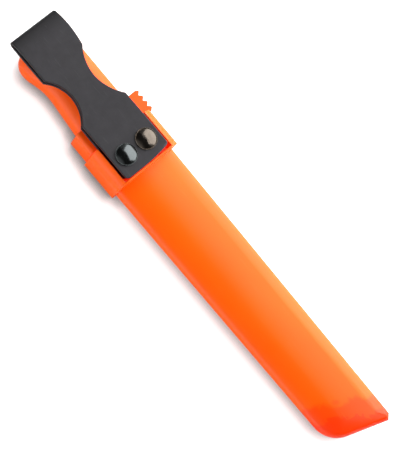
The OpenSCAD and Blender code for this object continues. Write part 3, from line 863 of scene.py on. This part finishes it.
class KNIFE_OT_handle(bpy.types.Operator):
    """Finishes the moulded handle with its guard and thumb rest"""

    bl_idname = "knife.handle"
    bl_label = "Handle"

    def execute(self, context):
        colour = tuple(context.scene.knife_colours.handle)
        deep, pale = (0.88, 0.055, 0.003), (1.0, 0.2, 0.06)
        plastic = moulded_plastic("handle_plastic", colour, deep, pale, 0.34)
        dress(frame["nodes"]["handle"], plastic)
        soft_shading(frame["nodes"]["handle"], 28)
        return {"FINISHED"}


class KNIFE_OT_blade(bpy.types.Operator):
    """Finishes the ground blade and the lanyard tube"""

    bl_idname = "knife.blade"
    bl_label = "Blade and tube"

    def execute(self, context):
        ground = metal("blade_steel", (0.58, 0.59, 0.61), 0.26, brushed=(1600, 40, 40))
        drawn = metal("tube_steel", (0.55, 0.55, 0.56), 0.3, brushed=(500, 500, 2600))
        dress(frame["nodes"]["blade"], ground)
        dress(frame["nodes"]["lanyard_tube"], drawn)
        for name in ("blade", "lanyard_tube"):
            soft_shading(frame["nodes"][name], 20)
        return {"FINISHED"}


# ------------------------------------------------------------------ stage
AIM = Vector((-0.0045, 0.0035, 0.0119))  # where the camera and the lights point
FLOOR_SIZE = 2.4
FLOOR_GAP = 0.0004  # distance of the floor below the knife

# name, setting of its power, size, lean from overhead toward the spine side in degrees, distance,
# shift along the knife, and whether it shows in reflections
LIGHTS = (
    ("soft_box", "key_power", (2.6, 2.2), 57, 1.1, 0.12, True),
    ("side_key", "side_power", (1.2, 0.6), 70, 1.2, 0.1, False),
    ("edge_light", "edge_power", (1.6, 0.6), -80, 1.2, 0.0, False),
    ("fill", "fill_power", (2.4, 1.0), -62, 1.2, 0.0, False),
)


def seen_directly(tree, where):
    """1 where a camera ray or a transmission ray meets the surface."""
    paths = node(tree, "ShaderNodeLightPath", where)
    camera, transmitted = paths.outputs["Is Camera Ray"], paths.outputs["Is Transmission Ray"]
    return maths(tree, "MAXIMUM", camera, transmitted, (where[0] + 200, where[1]))


def floor_paper():
    """White paper with a painted grey shadow close to the knife, where ambient occlusion leaned toward the
    spine side darkens its colour and its glow to the camera.
    """
    m, tree, shader = new_material("floor_paper")
    shader.inputs["Roughness"].default_value = 0.9
    shader.inputs["Specular IOR Level"].default_value = 0.1
    glow = node(tree, "ShaderNodeMapRange", (400, 300))
    glow.inputs["To Max"].default_value = 0.75
    tree.links.new(seen_directly(tree, (0, 300)), glow.inputs["Value"])
    lean = node(tree, "ShaderNodeCombineXYZ", (-400, -200))
    for socket, value in zip(lean.inputs, (0.0, 0.6, 0.8), strict=True):
        socket.default_value = value
    under = node(tree, "ShaderNodeAmbientOcclusion", (-200, -200), samples=12)
    under.inputs["Distance"].default_value = 0.01
    tree.links.new(lean.outputs[0], under.inputs["Normal"])
    # Painted shadow: ambient occlusion darkens the paper's colour and glow, its darkest stop tinted
    # blue-green against the plastic's pink bounce.
    painted_shadow = ramp(tree, under.outputs["AO"], [(0.22, (0.13, 0.16, 0.16)), (0.85, 1.0)], (0, -200))
    paper = mix(tree, 1.0, painted_shadow, (0.62, 0.64, 0.64), mode="MULTIPLY", where=(300, -200))
    tree.links.new(paper, shader.inputs["Base Color"])
    tree.links.new(painted_shadow, shader.inputs["Emission Color"])
    tree.links.new(glow.outputs["Result"], shader.inputs["Emission Strength"])
    return m


def studio_world():
    """White to the camera; soft light that is strongest low on both sides of the knife."""
    world = bpy.data.worlds.new("studio")
    world.use_nodes = True
    tree = world.node_tree
    tree.nodes.clear()
    coords = node(tree, "ShaderNodeTexCoord", (-900, 0))
    axis = node(tree, "ShaderNodeSeparateXYZ", (-700, 0))
    tree.links.new(coords.outputs["Generated"], axis.inputs[0])
    side = node(tree, "ShaderNodeMapRange", (-500, 0))
    side.inputs["From Min"].default_value = -1.0
    side.inputs["From Max"].default_value = 1.0
    tree.links.new(axis.outputs["Y"], side.inputs["Value"])
    stops = [(0.0, 0.35), (0.12, 0.25), (0.22, 0.03), (0.52, 0.03), (1.0, 0.3)]
    sky = ramp(tree, side.outputs["Result"], stops, (-300, 0))
    colour = mix(tree, seen_directly(tree, (-300, 300)), sky, (1.0, 1.0, 1.0), where=(100, 100))
    back = node(tree, "ShaderNodeBackground", (300, 0))
    tree.links.new(colour, back.inputs["Color"])
    out = node(tree, "ShaderNodeOutputWorld", (500, 0))
    tree.links.new(back.outputs["Background"], out.inputs["Surface"])
    return world


def area_light(name, power, size, place, in_reflections):
    data = bpy.data.lights.new(name, "AREA")
    data.energy = power
    data.shape = "RECTANGLE"
    data.size, data.size_y = size
    obj = bpy.data.objects.new(name, data)
    obj.location = place
    obj.rotation_euler = (AIM - place).to_track_quat("-Z", "Y").to_euler()
    obj.visible_glossy = in_reflections
    bpy.context.collection.objects.link(obj)


def studio_camera(s):
    """Camera that looks at AIM from the settings' tilt and roll."""
    data = bpy.data.cameras.new("camera")
    data.lens = s.lens
    data.sensor_width = 36
    data.clip_start, data.clip_end = 0.05, 50
    camera = bpy.data.objects.new("camera", data)
    back = Vector((0, -math.sin(s.tilt), math.cos(s.tilt)))
    up = Vector((0, math.cos(s.tilt), math.sin(s.tilt)))
    right = Vector((1, 0, 0))
    r = math.cos(s.roll) * right + math.sin(s.roll) * up
    u = -math.sin(s.roll) * right + math.cos(s.roll) * up
    place = AIM + back * (s.view_height / data.sensor_width * s.lens)
    camera.matrix_world = Matrix((
        (r.x, u.x, back.x, place.x), (r.y, u.y, back.y, place.y),
        (r.z, u.z, back.z, place.z), (0, 0, 0, 1)))
    bpy.context.collection.objects.link(camera)
    return camera


class KNIFE_OT_stage(bpy.types.Operator):
    """Sets the pale floor, the studio light and the camera"""

    bl_idname = "knife.stage"
    bl_label = "Studio"

    def execute(self, context):
        s = context.scene.knife_stage
        bpy.ops.mesh.primitive_plane_add(size=FLOOR_SIZE, location=(0, 0, -FLOOR_GAP))
        floor = context.object
        floor.name = "studio_floor"
        dress(floor, floor_paper())
        context.scene.world = studio_world()
        for name, power, size, degrees, distance, shift, in_reflections in LIGHTS:
            lean = math.radians(degrees)
            place = AIM + Vector((shift, distance * math.sin(lean), distance * math.cos(lean)))
            area_light(name, getattr(s, power), size, place, in_reflections)
        context.scene.camera = studio_camera(s)
        context.scene.view_settings.view_transform = "Standard"
        return {"FINISHED"}


class KNIFE_PT_panel(bpy.types.Panel):
    """Sizes, colours and steps of the rigging knife"""

    bl_idname = "KNIFE_PT_panel"
    bl_label = "Rigging Knife"
    bl_space_type = "VIEW_3D"
    bl_region_type = "UI"
    bl_category = "Rigging Knife"

    def draw(self, context):
        for title, name in SETTINGS:
            box = self.layout.box()
            box.label(text=title)
            group = getattr(context.scene, name)
            for key in group.__annotations__:
                box.prop(group, key)
        for step in STEPS:
            self.layout.operator(step.bl_idname)


SETTINGS = (
    ("Strap", "knife_strap"), ("Press studs", "knife_studs"),
    ("Colours", "knife_colours"), ("Studio", "knife_stage"),
)
STEPS = (
    KNIFE_OT_sheath, KNIFE_OT_handle, KNIFE_OT_blade,
    KNIFE_OT_strap, KNIFE_OT_press_studs, KNIFE_OT_stage,
)
CLASSES = (StrapSettings, StudSettings, ColourSettings, StageSettings, *STEPS, KNIFE_PT_panel)


def register():
    for c in CLASSES:
        bpy.utils.register_class(c)
    bpy.types.Scene.knife_strap = bpy.props.PointerProperty(type=StrapSettings)
    bpy.types.Scene.knife_studs = bpy.props.PointerProperty(type=StudSettings)
    bpy.types.Scene.knife_colours = bpy.props.PointerProperty(type=ColourSettings)
    bpy.types.Scene.knife_stage = bpy.props.PointerProperty(type=StageSettings)


def unregister():
    for _, name in SETTINGS:
        delattr(bpy.types.Scene, name)
    for c in reversed(CLASSES):
        bpy.utils.unregister_class(c)


def main():
    register()
    make_effects()
    for step in (
        bpy.ops.knife.sheath, bpy.ops.knife.handle, bpy.ops.knife.blade,
        bpy.ops.knife.strap, bpy.ops.knife.press_studs, bpy.ops.knife.stage,
    ):
        step()


if __name__ == "__main__":
    main()
